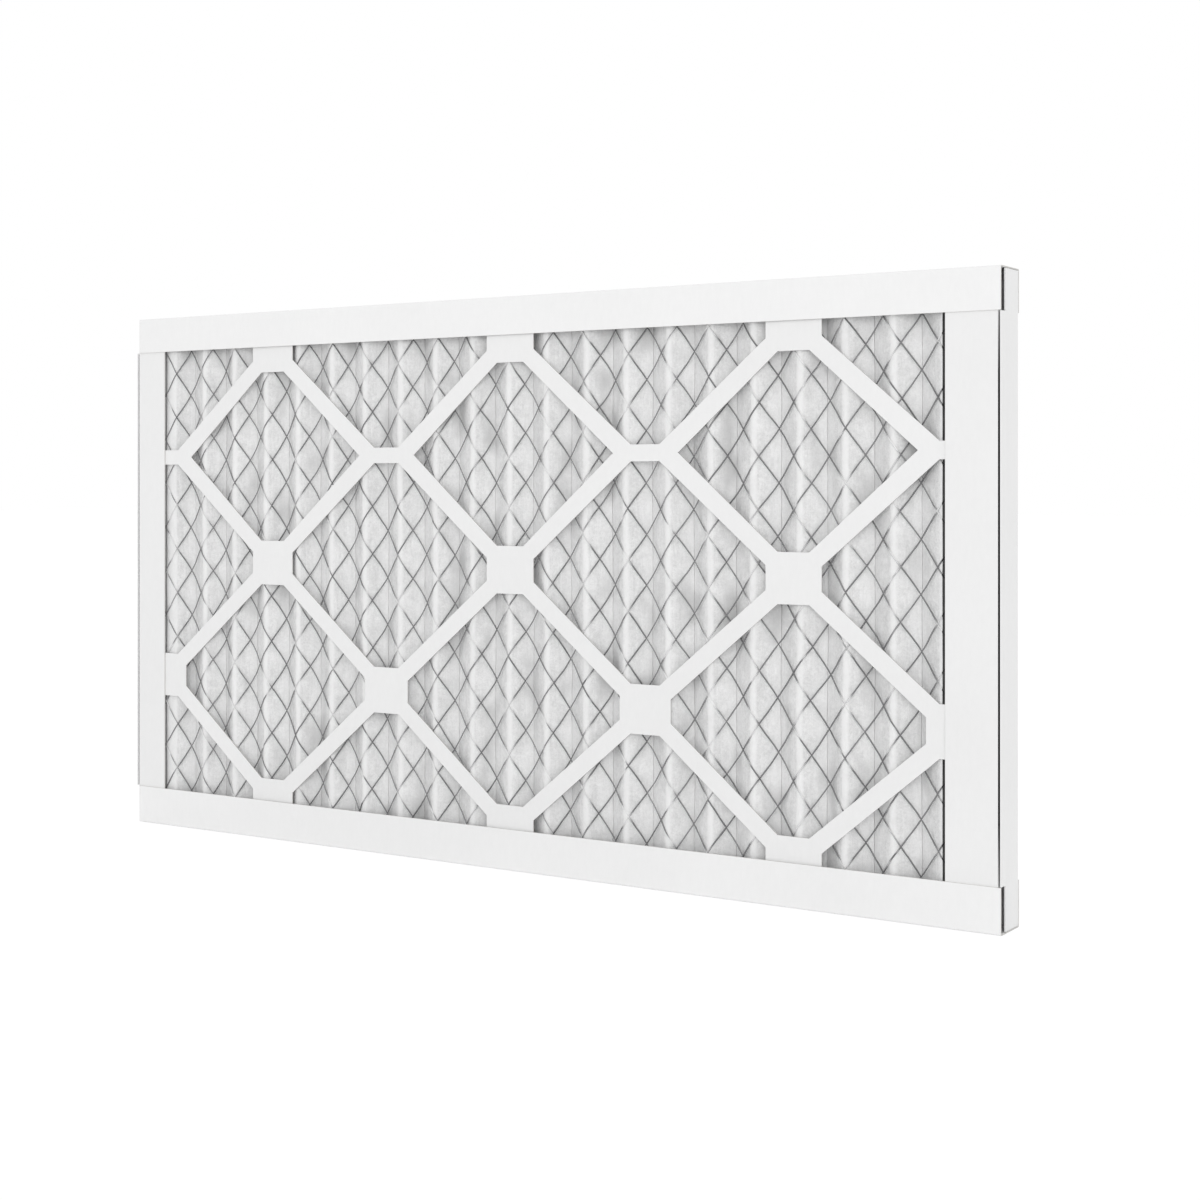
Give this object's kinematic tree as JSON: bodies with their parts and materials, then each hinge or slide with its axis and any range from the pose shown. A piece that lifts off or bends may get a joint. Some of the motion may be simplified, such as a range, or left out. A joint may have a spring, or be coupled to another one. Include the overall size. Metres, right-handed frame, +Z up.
{
  "type": "pleated panel air filter",
  "caption": "Thin rectangular panel air filter: a folded white media pack backed with expanded metal, between diamond-lattice board grilles in a folded board frame.",
  "frame": {"origin": "middle of the bottom edge, at its lowest level and half way through the thickness", "axes": "+X along the width, +Y from the grille face with the wire backing to the other face, +Z up the shorter side"},
  "size_m": [0.622, 0.0254, 0.343],
  "materials": {
    "frame_board": "white clay-coated paperboard, matte, with pale raw edges",
    "grille_board": "white clay-coated paperboard, matte, die-cut",
    "media": "soft nonwoven, lightly mottled, off-white",
    "wire": "dull expanded metal"
  },
  "bodies": {
    "root": {"bottom_channel": "frame_board", "top_channel": "frame_board", "front_left_rail": "frame_board", "front_right_rail": "frame_board", "rear_left_rail": "frame_board", "rear_right_rail": "frame_board", "front_grille": "grille_board", "rear_grille": "grille_board", "pleated_media": "media", "wire_backing": "wire"}
  },
  "joints": []
}
